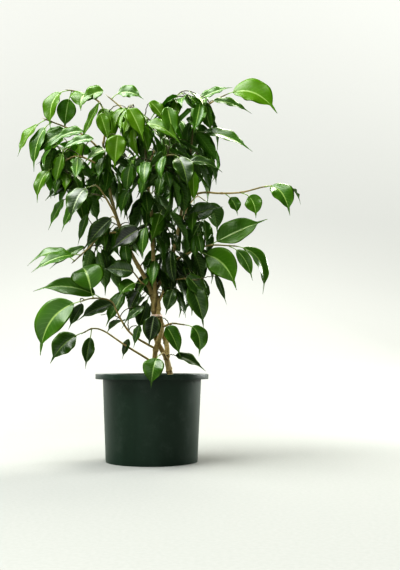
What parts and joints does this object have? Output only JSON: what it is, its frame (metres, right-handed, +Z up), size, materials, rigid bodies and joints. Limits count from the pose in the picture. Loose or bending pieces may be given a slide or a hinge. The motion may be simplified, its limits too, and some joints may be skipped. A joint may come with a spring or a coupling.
{
  "type": "potted weeping fig",
  "caption": "Young weeping fig with three twisted, tied stems, arching branches and glossy drip-tipped leaves, rooted in a round plastic nursery pot with a rolled lip.",
  "frame": {"origin": "middle of the pot's foot, on the surface that it stands on", "axes": "+Z up along the pot's axis; +X to the plant's right; -Y the plant's front"},
  "size_m": [0.4031, 0.2951, 0.5468],
  "materials": {
    "pot_plastic": "satin, very dark green, moulded",
    "potting_mix": "rough peat and bark crumbs",
    "bark": "fine-ridged olive brown bark",
    "tie_tape": "matt, pale pinkish cream",
    "leaf": "waxy gloss on the upper face, paler and duller beneath"
  },
  "bodies": {
    "root": {"nursery_pot": "pot_plastic", "stem_left": "bark", "stem_middle": "bark", "stem_right": "bark", "potting_mix": "potting_mix", "plant_tie": "tie_tape", "branch_low_left_outer": "bark", "leaf_low_left_outer_1": "leaf", "leaf_low_left_outer_2": "leaf", "branch_low_left_inner": "bark", "leaf_low_left_inner_1": "leaf", "leaf_low_left_inner_2": "leaf", "leaf_low_left_inner_3": "leaf", "branch_left_mid": "bark", "leaf_left_mid_1": "leaf", "leaf_left_mid_2": "leaf", "branch_left_upper": "bark", "leaf_left_upper_1": "leaf", "branch_far_left": "bark", "leaf_far_left_1": "leaf", "leaf_far_left_2": "leaf", "leaf_far_left_3": "leaf", "branch_top_left": "bark", "leaf_top_left_1": "leaf", "leaf_top_left_2": "leaf", "leaf_top_left_3": "leaf", "leaf_top_left_4": "leaf", "branch_top_middle": "bark", "leaf_top_middle_1": "leaf", "branch_top_right": "bark", "leaf_top_right_1": "leaf", "leaf_top_right_2": "leaf", "branch_right_outer": "bark", "leaf_right_outer_1": "leaf", "leaf_right_outer_2": "leaf", "leaf_right_outer_3": "leaf", "leaf_right_outer_4": "leaf", "branch_right_low": "bark", "leaf_right_low_1": "leaf", "leaf_right_low_2": "leaf", "leaf_right_low_3": "leaf", "leaf_right_low_4": "leaf", "branch_lower_right": "bark", "leaf_lower_right_1": "leaf", "branch_low_right": "bark", "leaf_low_right_1": "leaf", "branch_front_low": "bark", "leaf_front_low_1": "leaf", "branch_inner_left": "bark", "leaf_inner_left_1": "leaf", "branch_front_left": "bark", "leaf_front_left_1": "leaf", "branch_front_right": "bark", "leaf_front_right_1": "leaf", "branch_back_left": "bark", "leaf_back_left_1": "leaf", "branch_back_right": "bark", "leaf_back_right_1": "leaf", "branch_back_top": "bark", "leaf_back_top_1": "leaf"}
  },
  "joints": []
}
